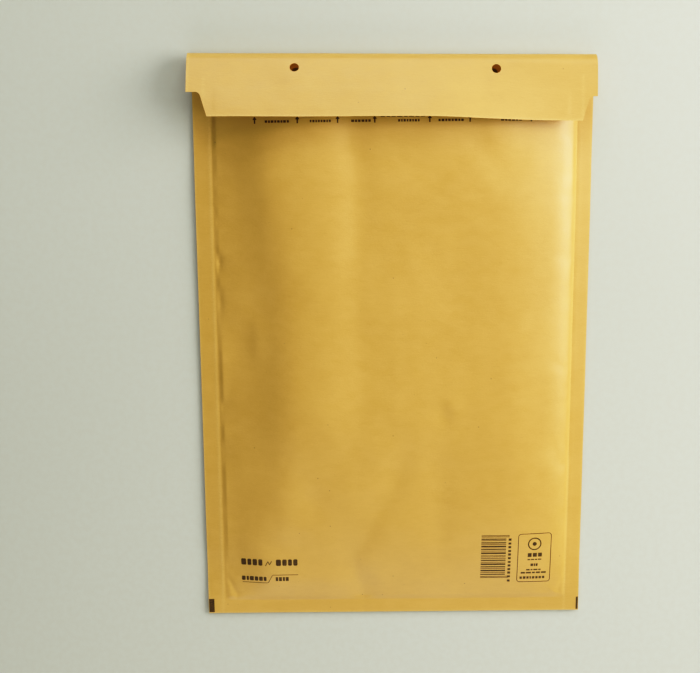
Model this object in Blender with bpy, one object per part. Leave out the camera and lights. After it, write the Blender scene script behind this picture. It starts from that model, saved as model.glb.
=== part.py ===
"""Padded envelope (bubble mailer), empty, lying on its back with the flap folded over the front.

One kraft sheet is folded at the bottom, joined down both sides and folded again above the mouth to make the flap.
A bubble-film lining, folded and joined the same way, sits inside it. The flap carries an adhesive strip under a release liner.

+X is the envelope's right as you read the front, +Y runs from the bottom fold to the top fold, +Z is up, out of the front.
The origin is on the surface that it lies on, under the middle of the outline. All the sizes below are in millimetres.
"""

import math

import bmesh
import bpy

# ---- driving dimensions, mm ----
WIDTH = 240.0  # across the side seams, outside
LENGTH = 352.0  # bottom fold to the crown of the top fold
MOUTH = 338.5  # bottom fold to the top edge of the front panel
SEAM = 11.0  # flat side seam
BOTTOM_MARGIN = 9.0  # flattened strip above the bottom fold
SHEET = 0.3  # kraft sheet
CROWN = 16.0  # height of the padded front panel
EDGE_STEP = 1.2  # quick rise just inside the seams, over the edge of the film
FOLD_R = 7.5  # outside radius of the soft top fold
SHOULDER = 29.0  # crown of the fold to the flap's shoulder, along the paper
TIP = 44.5  # crown of the fold to the flap's tip, along the paper
STEP = (7.8, 4.2)  # how far each corner of the flap is stepped in, left and right
SLANT = (12.8, 8.6)  # how far in it has slanted at the tip
FLAP_LIFT_LEFT = 27.0  # degrees the flap springs up from level, left half
FLAP_LIFT_RIGHT = 8.0  # and at its right end, where it comes down on the padding
FLAP_DROOP = 0.001  # sag of the free flap, per mm, with the square of the distance
PUNCH_R = 2.7  # punched holes
PUNCH_X = 58.9  # half their distance from each other
PUNCH_SHIFT = 1.0  # the middle between them, to the right of the envelope's
PUNCH_ALONG = 13.3  # in the flap, from the crown, along the paper
PUNCH_BACK_Y = (342.2, 340.8)  # in the lip below it, from the bottom fold, left and right
PUNCH_BACK_SHIFT = 0.2  # and to the right of those in the flap
FILM = 2.8  # one layer of bubble film with its bubbles up
GAP = 0.3  # between pieces that touch
FILM_SIDE = 104.0  # half width of the lining
FILM_FOOT = 15.0  # bottom fold of the lining
FILM_MOUTH = 336.5  # top edge of the lining
FILM_HOLLOW_SIDE = 96.0  # half width of the space inside it
FILM_HOLLOW_FOOT = 28.0  # where that space starts
GLUE = 0.2
GLUE_FROM, GLUE_TO = 26.0, 40.0  # adhesive strip, from the crown, along the paper
GLUE_SIDE = 105.0  # its half width
LINER = 0.15
LINER_FROM, LINER_TO = 22.0, 42.5  # release liner over it
LINER_END = 1.0  # how far inside the flap's outline the liner ends

HALF = WIDTH / 2
PAD = HALF - SEAM  # half width of the padded area
BEND = LENGTH - FOLD_R  # where the back sheet starts to turn over
QUARTER = FOLD_R * math.pi / 2

COLUMNS = [0, 20, 40, 58, 72, 84, 90, FILM_HOLLOW_SIDE, 100, FILM_SIDE, PAD, 114.5, HALF]
COLUMNS = [-c for c in reversed(COLUMNS[1:])] + COLUMNS
ROWS = [0, 4.5, BOTTOM_MARGIN, 12, FILM_FOOT, 20, FILM_HOLLOW_FOOT, 38, 50, 66, 90, 120, 155, 190, 225, 255]
ROWS += [280, 300, 314, 325, 332, FILM_MOUTH, MOUTH]


# ---- the form of the panels ----
def smooth(a, b, x):
    """0 at a, 1 at b, level at both ends."""
    t = min(1.0, max(0.0, (x - a) / (b - a)))
    return t * t * (3 - 2 * t)


def hump(x, middle, half):
    """1 at middle, 0 a half width away."""
    return smooth(middle - half, middle, x) * (1 - smooth(middle, middle + half, x))


def seam_height(y):
    """Middle of the flat seams: they hover, because the padding swells to both sides of them."""
    return 1.9 + 1.3 * smooth(0, 60, y) - 2.1 * smooth(270, MOUTH, y)


def front(x, y):
    """Height of the outside of the front panel."""
    left = smooth(-PAD, -58, x)
    right = 1 - 0.25 * smooth(56, 96, x) - 0.75 * smooth(86, PAD, x)
    foot = smooth(BOTTOM_MARGIN, 62, y)
    base = seam_height(y) + SHEET + EDGE_STEP * smooth(0, 4, PAD - abs(x)) * smooth(0, 4, y - BOTTOM_MARGIN)
    # a long ridge with a shallow valley on its right
    ridge = 0.6 * hump(x, -32, 22) * smooth(60, 150, y)
    valley = 0.4 * hump(x, -4, 24) * smooth(60, 320, y)
    return base + (CROWN - base) * left * right * foot + ridge - valley


def back(x, y):
    """Height of the outside of the back panel: flat where it rests, rising to the seams."""
    flat = (1 - smooth(88, PAD, abs(x))) * smooth(BOTTOM_MARGIN, 34, y)
    return (seam_height(y) - SHEET) * (1 - flat)


def flap_lift(x):
    change = smooth(-5, 110, x)
    return math.radians(FLAP_LIFT_LEFT + (FLAP_LIFT_RIGHT - FLAP_LIFT_LEFT) * change)


def turned(x, along, depth=0.0):
    """A point of the lip, the top fold or the flap. along runs over the paper from the crown of the fold,
    negative on the lip's side. depth is 0 on the outer face and SHEET on the inner one."""
    radius, lift = FOLD_R - depth, flap_lift(x)
    if along <= -QUARTER:
        y = BEND + QUARTER + along
        return x, y, depth + back(x, MOUTH) * smooth(BEND, MOUTH, y)
    turn, last = math.pi / 2 + along / FOLD_R, math.pi - lift
    free = max(0.0, (turn - last) * FOLD_R)
    turn = min(turn, last)
    y = BEND + radius * math.sin(turn) - free * math.cos(lift)
    return x, y, FOLD_R - radius * math.cos(turn) + free * math.sin(lift) - FLAP_DROOP * free**2


def in_frame(x, y, z):
    """Millimetres from the bottom fold to metres from the part's origin."""
    return x / 1000, (y - LENGTH / 2) / 1000, z / 1000


# ---- building blocks ----
def material(name, colour, roughness):
    made = bpy.data.materials.new(name)
    made.use_nodes = True
    shader = made.node_tree.nodes["Principled BSDF"]
    shader.inputs["Base Color"].default_value = (*colour, 1.0)
    shader.inputs["Roughness"].default_value = roughness
    shader.inputs["Metallic"].default_value = 0.0
    return made


def add_object(name, bm, surface=None):
    bmesh.ops.recalc_face_normals(bm, faces=bm.faces)
    bmesh.ops.triangulate(bm, faces=[f for f in bm.faces if len(f.verts) > 3])
    mesh = bpy.data.meshes.new(name)
    bm.to_mesh(mesh)
    bm.free()
    obj = bpy.data.objects.new(name, mesh)
    bpy.context.scene.collection.objects.link(obj)
    if surface:
        mesh.shade_smooth()
        mesh.set_sharp_from_angle(angle=math.radians(40))
        mesh.materials.append(surface)
    else:
        obj.hide_render = True
        obj.display_type = "WIRE"
    return obj


def cut(obj, cutters):
    for cutter in cutters:
        modifier = obj.modifiers.new(cutter.name, "BOOLEAN")
        modifier.operation = "DIFFERENCE"
        modifier.object = cutter


class Pocket:
    """Two panels joined down both sides and along the foot, open at the mouth: one closed surface around a hollow.
    Heights are functions of x and y. out_top and out_low are the outer faces, in_top and in_low face the hollow,
    and edge is where those two meet around it."""

    def __init__(self, columns, rows, hollow_side, hollow_foot, **heights):
        self.bm, self.columns, self.rows, self.heights = bmesh.new(), columns, rows, heights
        self.first, self.last = columns.index(-hollow_side), columns.index(hollow_side)
        self.foot = rows.index(hollow_foot)
        self.ends = 0, len(columns) - 1
        self.mouth = len(rows) - 1
        self.points = {}
        self.make_panels()

    def point(self, kind, i, j):
        if kind in ("in_top", "in_low") and (i in (self.first, self.last) or j == self.foot):
            kind = "edge"
        if (kind, i, j) not in self.points:
            x, y = self.columns[i], self.rows[j]
            self.points[kind, i, j] = self.bm.verts.new(in_frame(x, y, self.heights[kind](x, y)))
        return self.points[kind, i, j]

    def face(self, *corners):
        points = [c if isinstance(c, bmesh.types.BMVert) else self.point(*c) for c in corners]
        # every quad is split along the same diagonal, so that panels of one form stay parallel
        pieces = [points[:3], [points[0], points[2], points[3]]] if len(points) == 4 else [points]
        for piece in pieces:
            # in a corner of the hollow, its top and its bottom may close on each other and leave nothing between
            closed_on = self.bm.faces.get(piece)
            if closed_on:
                self.bm.faces.remove(closed_on)
            else:
                self.bm.faces.new(piece)

    def make_panels(self):
        for i in range(self.ends[1]):
            hollow = self.first <= i < self.last
            for j in range(self.mouth):
                kinds = ["out_top", "out_low"]
                if hollow and j >= self.foot:
                    kinds += ["in_top", "in_low"]
                for kind in kinds:
                    self.face((kind, i, j), (kind, i + 1, j), (kind, i + 1, j + 1), (kind, i, j + 1))
            self.face(("out_top", i, 0), ("out_top", i + 1, 0), ("out_low", i + 1, 0), ("out_low", i, 0))
            if hollow:
                self.rim(i, "out_top", "in_top")

    def rim(self, i, above, below):
        j = self.mouth
        self.face((above, i, j), (above, i + 1, j), (below, i + 1, j), (below, i, j))


# ---- the pieces ----
def kraft_envelope():
    made = Pocket(
        COLUMNS,
        ROWS,
        PAD,
        BOTTOM_MARGIN,
        out_top=front,
        out_low=back,
        in_top=lambda x, y: front(x, y) - SHEET,
        in_low=lambda x, y: back(x, y) + SHEET,
        edge=lambda x, y: back(x, y) + SHEET,
    )
    count, mouth = made.ends[1], made.mouth
    for i in made.ends:
        for j in range(mouth):
            # the last face of the side edge also touches the lip, which goes on past the front panel
            lip = [("edge", i, mouth)] if j == mouth - 1 else []
            made.face(("out_top", i, j), ("out_top", i, j + 1), *lip, ("out_low", i, j + 1), ("out_low", i, j))
    for i in range(count):
        if not made.first <= i < made.last:
            made.rim(i, "out_top", "edge")

    # the lip, the top fold and the flap: a band that carries on from the back panel
    along_rows = [y - BEND - QUARTER for y in (341.5, BEND)]
    along_rows += [QUARTER * (n / 6 - 1) for n in range(1, 12)]
    along_rows += [QUARTER - FOLD_R * math.radians(FLAP_LIFT_RIGHT), 14.0, 19.0, 24.0, SHOULDER, 34.0, 39.0, TIP]
    kinds = ["in_low" if made.first <= i <= made.last else "edge" for i in range(count + 1)]
    inner = [made.point(kind, i, mouth) for i, kind in enumerate(kinds)]
    outer = [made.point("out_low", i, mouth) for i in range(count + 1)]
    for along in along_rows:
        next_inner = [made.bm.verts.new(in_frame(*turned(x, along, SHEET))) for x in COLUMNS]
        next_outer = [made.bm.verts.new(in_frame(*turned(x, along))) for x in COLUMNS]
        for i in range(count):
            made.face(inner[i], inner[i + 1], next_inner[i + 1], next_inner[i])
            made.face(outer[i], outer[i + 1], next_outer[i + 1], next_outer[i])
        for i in made.ends:
            made.face(inner[i], next_inner[i], next_outer[i], outer[i])
        inner, outer = next_inner, next_outer
    for i in range(count):
        made.face(inner[i], inner[i + 1], outer[i + 1], outer[i])
    return add_object("kraft_envelope", made.bm, material("kraft_paper", (0.58, 0.37, 0.12), 0.62))


def bubble_lining():
    columns = [c for c in COLUMNS if abs(c) <= FILM_SIDE]
    rows = [r for r in ROWS if FILM_FOOT <= r <= FILM_MOUTH]

    def top(x, y):
        return front(x, y) - SHEET - GAP

    def low(x, y):
        return back(x, y) + SHEET + GAP

    def middle(x, y):
        return (top(x, y) + low(x, y)) / 2

    made = Pocket(
        columns,
        rows,
        FILM_HOLLOW_SIDE,
        FILM_HOLLOW_FOOT,
        out_top=top,
        out_low=low,
        in_top=lambda x, y: max(top(x, y) - FILM, middle(x, y) + 0.25),
        in_low=lambda x, y: min(low(x, y) + FILM, middle(x, y) - 0.25),
        edge=middle,
    )
    count, mouth = made.ends[1], made.mouth
    for i in made.ends:
        for j in range(mouth):
            made.face(("out_top", i, j), ("out_top", i, j + 1), ("out_low", i, j + 1), ("out_low", i, j))
    for i in range(count):
        if made.first <= i < made.last:
            made.rim(i, "out_low", "in_low")
            continue
        end = [("out_top", i, mouth), ("out_top", i + 1, mouth), ("out_low", i + 1, mouth), ("out_low", i, mouth)]
        # beside the hollow, the end of the seam also touches the hollow's corner
        if i + 1 == made.first:
            end.insert(2, ("edge", i + 1, mouth))
        if i == made.last:
            end.append(("edge", i, mouth))
        made.face(*end)
    return add_object("bubble_lining", made.bm, material("bubble_film", (0.82, 0.83, 0.82), 0.25))


def band(name, from_along, to_along, side, depth, thickness, surface):
    """A strip across the inner face of the flap, at a depth below the flap's outer face."""
    bm = bmesh.new()
    columns = [-side] + [c for c in COLUMNS if abs(c) < side - 1] + [side]
    steps = 5
    rows = [from_along + (to_along - from_along) * n / steps for n in range(steps + 1)]
    grids = [
        [[bm.verts.new(in_frame(*turned(x, along, at))) for x in columns] for along in rows]
        for at in (depth, depth + thickness)
    ]
    near, far = grids
    last = len(columns) - 1
    for j in range(steps):
        for i in range(last):
            for grid in grids:
                bm.faces.new((grid[j][i], grid[j][i + 1], grid[j + 1][i + 1]))
                bm.faces.new((grid[j][i], grid[j + 1][i + 1], grid[j + 1][i]))
        for i in (0, last):
            bm.faces.new((near[j][i], near[j + 1][i], far[j + 1][i], far[j][i]))
    for i in range(last):
        for j in (0, steps):
            bm.faces.new((near[j][i], near[j][i + 1], far[j][i + 1], far[j][i]))
    return add_object(name, bm, surface)


def prism(name, outline, low, high):
    """An upright cutter with this outline."""
    bm = bmesh.new()
    face = bm.faces.new([bm.verts.new(in_frame(x, y, low)) for x, y in outline])
    lifted = bmesh.ops.extrude_face_region(bm, geom=[face])["geom"]
    tops = [v for v in lifted if isinstance(v, bmesh.types.BMVert)]
    bmesh.ops.translate(bm, verts=tops, vec=(0, 0, (high - low) / 1000))
    return add_object(name, bm)


def circle(x, y, radius, count=20):
    angles = [2 * math.pi * n / count for n in range(count)]
    return [(x + radius * math.cos(a), y + radius * math.sin(a)) for a in angles]


def corner(side, inset=0.0):
    """What is cut away at a corner of the flap: a step in at the shoulder, a small round, then a slant to the tip."""
    index = 0 if side < 0 else 1
    at_step, at_tip = HALF - STEP[index] - inset, HALF - SLANT[index] - inset
    shoulder = turned(side * at_step, SHOULDER)[1] + inset
    tip = turned(side * at_tip, TIP)[1]
    beyond = tip - 10
    slant = (at_step - at_tip) / (shoulder - tip)
    radius = 2.2
    points = [(HALF + 8, shoulder), (at_step + radius, shoulder)]
    for n in range(1, 5):
        angle = math.pi / 2 * n / 4
        points.append((at_step + radius * (1 - math.sin(angle)), shoulder - radius * (1 - math.cos(angle))))
    points += [(at_step - slant * (shoulder - beyond), beyond), (HALF + 8, beyond)]
    return [(side * x, y) for x, y in points]


def main():
    for old in list(bpy.data.objects):
        bpy.data.objects.remove(old, do_unlink=True)

    envelope = kraft_envelope()
    bubble_lining()
    band(
        "adhesive_strip",
        GLUE_FROM,
        GLUE_TO,
        GLUE_SIDE,
        SHEET + GAP,
        GLUE,
        material("hot_melt", (0.86, 0.82, 0.66), 0.3),
    )
    liner = band(
        "release_liner",
        LINER_FROM,
        LINER_TO,
        HALF - LINER_END,
        SHEET + 2 * GAP + GLUE,
        LINER,
        material("silicone_paper", (0.88, 0.88, 0.84), 0.35),
    )

    for side, word in ((-1, "left"), (1, "right")):
        x = side * PUNCH_X + PUNCH_SHIFT
        back_y = PUNCH_BACK_Y[0 if side < 0 else 1]
        _, y, z = turned(x, PUNCH_ALONG)
        punches = [
            prism(f"punch_flap_{word}", circle(x, y, PUNCH_R), z - 4, z + 4),
            prism(f"punch_lip_{word}", circle(x + PUNCH_BACK_SHIFT, back_y, PUNCH_R), -2, 2),
        ]
        cut(envelope, punches + [prism(f"flap_corner_{word}", corner(side), 9, 45)])
        cut(liner, [prism(f"liner_corner_{word}", corner(side, LINER_END), 9, 45)])


main()
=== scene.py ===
"""Looks of the padded envelope: the kraft sheet with its folds, padding and creases, the print on it, the bubble-film lining,
the glue and its release liner, on a pale floor in soft light.

Sizes are in millimetres and y runs from the bottom fold, until place() turns them into the frame's metres.
"""

import math

import bmesh
import bpy
import numpy as np
from mathutils import Matrix, Vector


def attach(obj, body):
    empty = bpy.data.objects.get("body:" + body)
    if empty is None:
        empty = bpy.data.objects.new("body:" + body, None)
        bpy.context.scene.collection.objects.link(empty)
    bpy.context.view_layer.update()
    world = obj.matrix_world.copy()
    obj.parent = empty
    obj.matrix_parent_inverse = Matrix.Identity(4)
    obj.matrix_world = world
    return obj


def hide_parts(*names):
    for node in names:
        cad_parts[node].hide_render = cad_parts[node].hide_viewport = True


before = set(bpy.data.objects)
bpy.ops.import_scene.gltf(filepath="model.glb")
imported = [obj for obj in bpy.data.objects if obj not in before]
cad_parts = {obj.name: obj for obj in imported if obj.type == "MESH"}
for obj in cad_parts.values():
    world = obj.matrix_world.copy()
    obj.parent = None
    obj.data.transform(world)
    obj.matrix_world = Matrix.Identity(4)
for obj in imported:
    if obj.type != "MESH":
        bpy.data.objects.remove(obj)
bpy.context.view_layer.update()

# ---- sizes of the modelled part ----
WIDTH = 240.0
LENGTH = 352.0
MOUTH = 338.5
SEAM = 11.0
BOTTOM_MARGIN = 9.0
SHEET = 0.3
CROWN = 16.0
EDGE_STEP = 0.4
FOLD_R = 7.5
SHOULDER = 29.0
TIP = 43.8
STEP = (7.0, 4.2)
SLANT = (11.9, 8.6)
FLAP_LIFT_LEFT = 24.5
FLAP_LIFT_RIGHT = 8.0
FLAP_DROOP = 0.001
CORNER_R = 2.2
PUNCH_R = 2.7
PUNCH_X = 58.9
PUNCH_SHIFT = 1.0
PUNCH_ALONG = 13.3
PUNCH_BACK_Y = (342.2, 340.8)
PUNCH_BACK_SHIFT = 0.2
SKEW = 0.0110  # the top fold runs this far down for each mm to the right
SIDEWAYS = -0.8  # so the flap comes down a little to the left
RIGHT_SEAM = 1.9  # the padding reaches this much further out on the right
FILM_SIDE = 104.0
FILM_FOOT = 15.0
FILM_MOUTH = 336.5
HOLLOW_SIDE = 96.0
HOLLOW_FOOT = 28.0

HALF = WIDTH / 2
PAD = HALF - SEAM
BEND = LENGTH - FOLD_R
QUARTER = FOLD_R * math.pi / 2


# ---- small maths ----
def smooth(a, b, x):
    """0 at a, 1 at b, level at both ends."""
    t = np.clip((np.asarray(x, float) - a) / (b - a), 0, 1)
    return t * t * (3 - 2 * t)


def cloud(x, y, size, seed):
    """Soft bumps about this many millimetres across, between -1 and 1."""
    lattice = np.random.RandomState(seed).uniform(-1, 1, (61, 61))
    u, v = np.asarray(x, float) / size + 211.3, np.asarray(y, float) / size + 187.7
    i, j = np.floor(u).astype(int), np.floor(v).astype(int)
    f, g = u - i, v - j
    f, g = f * f * f * (f * (6 * f - 15) + 10), g * g * g * (g * (6 * g - 15) + 10)
    low = lattice[i % 61, j % 61] * (1 - f) + lattice[(i + 1) % 61, j % 61] * f
    high = lattice[i % 61, (j + 1) % 61] * (1 - f) + lattice[(i + 1) % 61, (j + 1) % 61] * f
    return low * (1 - g) + high * g


def table(knots, values, blur):
    """A curve through these knots with its corners rounded off over about blur millimetres."""
    grid = np.arange(min(knots) - 60, max(knots) + 60, 0.5)
    line = np.interp(grid, knots, values)
    reach = np.arange(-4 * blur, 4 * blur + 0.5, 0.5)
    weight = np.exp(-((reach / blur) ** 2))
    padded = np.pad(line, len(reach) // 2, mode="edge")
    soft = np.convolve(padded, weight / weight.sum(), mode="same")[len(reach) // 2 : len(reach) // 2 + len(grid)]
    return lambda x: np.interp(x, grid, soft)


def climb(knots, slopes, blur):
    """The height gained along a line with these slopes, from 0 at the first knot."""
    slope = table(knots, slopes, blur)
    grid = np.arange(knots[0], knots[-1] + 0.25, 0.25)
    steps = slope((grid[:-1] + grid[1:]) / 2) * 0.25
    height = np.concatenate([[0.0], np.cumsum(steps)])
    return grid, height


def rise_of(knots, slopes, blur):
    """As climb(), but from 0 at the first knot to 1 at the last."""
    grid, height = climb(knots, slopes, blur)
    return lambda x: np.interp(x, grid, height / height[-1])


def arch_of(knots, slopes, blur):
    """As climb(), but back at 0 at the last knot: its falling end is stretched or shrunk to fit."""
    grid, height = climb(knots, slopes, blur)
    top = int(np.argmax(np.where(grid > 0, height, -1e9)))
    fall = (height[top] - height) / (height[top] - height[-1])
    height = np.where(grid > grid[top], height[top] * (1 - fall), height)
    return lambda x: np.interp(x, grid, height)


def spline(points, count=28):
    """A smooth line through these points."""
    p = np.array(points, float)
    ends = np.vstack([2 * p[0] - p[1], p, 2 * p[-1] - p[-2]])
    where = np.linspace(0, len(p) - 1, count)
    k = np.minimum(where.astype(int), len(p) - 2)
    t = (where - k)[:, None]
    a, b, c, d = ends[k], ends[k + 1], ends[k + 2], ends[k + 3]
    return 0.5 * (2 * b + (c - a) * t + (2 * a - 5 * b + 4 * c - d) * t**2 + (3 * b - a - 3 * c + d) * t**3)


def from_line(x, y, points):
    """Distance from a line, below 0 on its left as it is followed towards the bottom fold, and how far down it, 0 to 1."""
    line = spline(points)
    best, down = np.full(np.shape(x), 1e9), np.zeros(np.shape(x))
    for k, ((ax, ay), (bx, by)) in enumerate(zip(line, line[1:])):
        dx, dy = bx - ax, by - ay
        t = np.clip(((x - ax) * dx + (y - ay) * dy) / (dx * dx + dy * dy), 0, 1)
        px, py = x - ax - t * dx, y - ay - t * dy
        away = np.hypot(px, py)
        side = np.where(dx * py - dy * px >= 0, 1.0, -1.0)
        nearer = away < np.abs(best)
        best = np.where(nearer, away * side, best)
        down = np.where(nearer, (k + t) / (len(line) - 1), down)
    return best, down


def crease(x, y, points, height, left, right, ends=(0.2, 0.2)):
    """A ridge, or with a negative height a valley, that has its own width to each side and dies away at both ends."""
    away, down = from_line(x, y, points)
    shape = np.where(away < 0, np.exp(-((away / left) ** 2)), np.exp(-((away / right) ** 2)))
    fade = np.ones_like(shape)
    if ends[0]:
        fade = fade * smooth(0, ends[0], down)
    if ends[1]:
        fade = fade * (1 - smooth(1 - ends[1], 1, down))
    return height * shape * fade


def bump(x, y, cx, cy, rx, ry, height):
    return height * np.exp(-(((x - cx) / rx) ** 2) - ((y - cy) / ry) ** 2)


# ---- the form of the panels ----
def seam_height(y):
    return 1.9 + 1.3 * smooth(0, 60, y) - 2.1 * smooth(270, MOUTH, y)


def seam_wave(x, y):
    """The seams are not quite level: each sways a little along its length and droops towards its outer edge."""
    side = np.where(np.asarray(x) < 0, 40.0, 160.0)
    sway = 0.25 * cloud(side, y, 46, 3) + 0.10 * cloud(side, y, 17, 4)
    droop = 1.25 * np.clip((np.abs(x) - PAD) / SEAM, 0, 1)
    return (sway - droop) * smooth(4, 40, y) * (1 - smooth(285, 332, y))


# how steeply the front panel climbs from the left seam over a ridge, a broad valley and a lower crown to the right seam
ACROSS = [-PAD, -102, -94, -88, -80, -74, -66, -61, -56, -48, -41, -33, -26, -18, -4, 20, 48, 62, 70, 78, 85, 92.5, 99, 103.5, 106.5, PAD]
HIGH = [0.24, 0.28, 0.32, 0.35, 0.32, 0.24, 0.13, 0.1, 0.09, 0.05, -0.003, -0.073, -0.063, 0.037, 0.007, 0.007, -0.023, -0.053, -0.083, -0.093, -0.113, -0.12, -0.17, -0.29, -0.41, -0.44]
MIDDLE = [0.2, 0.24, 0.27, 0.33, 0.36, 0.31, 0.2, 0.12, 0.06, 0.01, -0.052, -0.112, -0.102, -0.022, -0.032, -0.022, 0.008, -0.012, -0.032, -0.072, -0.092, -0.1, -0.15, -0.28, -0.42, -0.46]
LOW = [0.16, 0.22, 0.23, 0.24, 0.25, 0.22, 0.1, 0.01, -0.03, -0.05, -0.028, 0.012, 0.002, -0.018, -0.038, -0.008, 0.032, 0.022, 0.002, -0.048, -0.088, -0.12, -0.17, -0.26, -0.34, -0.38]
AT_TOP, AT_MIDDLE, AT_FOOT = arch_of(ACROSS, HIGH, 4.0), arch_of(ACROSS, MIDDLE, 2.2), arch_of(ACROSS, LOW, 4.0)
RIDGE_EDGE = table([0, 30, 50, 70, 90, 119, 151, 180, 207, 230, 340], [-84, -82, -76, -70, -67, -66, -65, -64, -65, -66, -66], 8)
FOOT_RISE = rise_of([BOTTOM_MARGIN, 14, 40, 66, 90], [0.26, 0.24, 0.18, 0.07, 0.0], 2.5)


SWELL = table([20, 47, 85, 170, 200, 230, 257, 279, 299, 314], [0.8, -1.7, -0.7, -0.7, -1.1, 0.0, 1.2, 1.3, 0.4, 0.2], 6)


def front_shape(x, y):
    """The swelling of the front panel, 0 at the seams and about 1 on the crowns."""
    sway = smooth(-PAD, -76, x) * (1 - smooth(-60, -18, x))
    moved = x + (-66 - RIDGE_EDGE(y)) * sway
    high, foot = smooth(222, 300, y), 1 - smooth(70, 140, y)
    made = (AT_TOP(x) * high + AT_FOOT(moved) * foot + AT_MIDDLE(moved) * (1 - high - foot)) / 12.6
    # towards the mouth the swelling sinks, on the left from further down
    sunk = (1 - 0.3 * smooth(310, MOUTH, y)) * (1 - 0.22 * smooth(287, 315, y) * (1 - smooth(-92, -40, x)))
    return np.maximum(made, 0) * FOOT_RISE(np.clip(y, BOTTOM_MARGIN, 90)) * sunk


def seam_puckers(x, y):
    """What the heat seam does to the paper beside it: short waves that die away towards the middle."""
    inside = PAD - np.abs(x)
    left = np.asarray(x) < 0
    wave = np.where(left, cloud(7.0, y, 13, 11) + 0.6 * cloud(9.0, y, 6, 12), 0.7 * cloud(3.0, y, 15, 13) + 0.5 * cloud(5.0, y, 7, 14))
    edge = smooth(0.2, 2.5, inside) * np.exp(-np.maximum(inside - 2.5, 0) / 6.0)
    low = smooth(9, 30, y) * (1 - 0.6 * smooth(300, 330, y))
    made = 0.34 * wave * edge * low
    for at, half in ((230, 6.0), (206, 8.0)):
        made = made - np.where(left, 0.75 * np.exp(-(((inside - 1.8) / 2.6) ** 2) - ((y - at) / half) ** 2), 0)
    return made


def front_detail(x, y):
    inside = np.minimum(PAD - np.abs(x), y - BOTTOM_MARGIN)
    made = seam_puckers(x, y)
    # the long valley beside the ridge, and the crease that it runs into
    made = made + crease(x, y, [(-27, 352), (-25.7, 311), (-22.4, 279), (-22, 243), (-20.7, 195), (-16, 151), (-6, 128)], -0.35, 9.0, 13.0, (0.0, 0.4))
    made = made + crease(x, y, [(-24.5, 345), (-24, 311), (-21.5, 279), (-21, 243), (-20.5, 205)], -0.40, 8.0, 10.0, (0.0, 0.7))
    made = made + crease(x, y, [(-4, 141), (3, 118), (4, 103), (-4, 80), (-14, 64), (-23, 47), (-26, 35), (-21.5, 23), (-19, 14), (-18.5, 1)], -0.84, 12.5, 8.0, (0.3, 0.0))
    made = made + crease(x, y, [(-26.5, 40), (-24, 32), (-21, 21), (-19, 9), (-18.7, -2)], -0.16, 5.0, 2.0, (0.3, 0.0))
    made = made + crease(x, y, [(-60, 112), (-56, 84), (-50, 60)], -0.45, 13, 12, (0.4, 0.4))
    # broad shallow waves to the right of it
    made = made + crease(x, y, [(28.5, 118), (29.5, 92), (28, 62), (27.7, 24)], -0.45, 9, 9, (0.35, 0.3))
    made = made + crease(x, y, [(45, 322), (52, 300), (66, 280), (70, 262)], -0.35, 9, 7, (0.1, 0.5))
    made = made + crease(x, y, [(8, 240), (14, 205), (10, 170)], 0.25, 14, 14, (0.4, 0.4))
    made = made + bump(x, y, 30.5, 134, 5.5, 7.5, -0.5) + bump(x, y, 36, 141, 6, 7, 0.35)
    # a dent beside the left seam, with a firm edge on its right
    made = made + bump(x, y, -94.5, 180.5, 8.5, 15, -0.65) + crease(x, y, [(-84.5, 198), (-84, 188), (-84.4, 176), (-86, 163)], 0.2, 2.6, 5.0, (0.3, 0.3))
    # folds that run in from the right seam
    made = made + crease(x, y, [(107, 160), (102, 163), (94.8, 167.5), (88, 170)], -0.2, 3.5, 3.5, (0.1, 0.6))
    made = made + crease(x, y, [(95.9, 120), (98.5, 111), (101.5, 104), (106.5, 97)], -0.22, 4.0, 2.6, (0.4, 0.1))
    made = made + crease(x, y, [(107, 228), (101, 231), (92, 230)], -0.15, 3.5, 3.5, (0.1, 0.6))
    # where the padding stops short of the bottom corners
    made = made + crease(x, y, [(-108, 27), (-104, 19), (-101, 13), (-100, 8)], -0.35, 2.2, 1.4, (0.2, 0.2))
    made = made + crease(x, y, [(-107, 13), (-101, 10.8), (-95, 9.8)], 0.22, 1.3, 1.3, (0.2, 0.5))
    made = made + crease(x, y, [(108, 24), (105, 16), (103, 8)], -0.35, 1.6, 2.4, (0.2, 0.2))
    made = made + crease(x, y, [(97.0, 17.5), (101, 14.0), (106.2, 11.0)], 0.25, 1.5, 1.5, (0.4, 0.2))
    # the left side of the padding is fuller in some places than in others
    made = made + SWELL(y) * smooth(-97, -74, x) * (1 - smooth(-80, 10, x)) * smooth(BOTTOM_MARGIN, 30, y)
    # the sheet is never quite even
    even = smooth(0, 14, inside)
    made = made + even * (0.20 * cloud(x, y, 31, 21) + 0.10 * cloud(x, y, 15, 22) + 0.035 * cloud(x, y, 6.5, 23))
    return made


def seam_lines(x, y):
    """The pressed line that the seam leaves along the padding, and the small lip outside it."""
    out = np.abs(x) - PAD
    below = BOTTOM_MARGIN - y
    side = -0.04 * np.exp(-((out / 0.6) ** 2)) + 0.055 * np.exp(-(((out - 1.7) / 0.8) ** 2))
    foot = -0.04 * np.exp(-((below / 0.7) ** 2)) + 0.03 * np.exp(-(((below - 1.8) / 0.9) ** 2))
    return side * smooth(6, 16, y) + foot * smooth(0, 6, PAD - np.abs(x))


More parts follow.
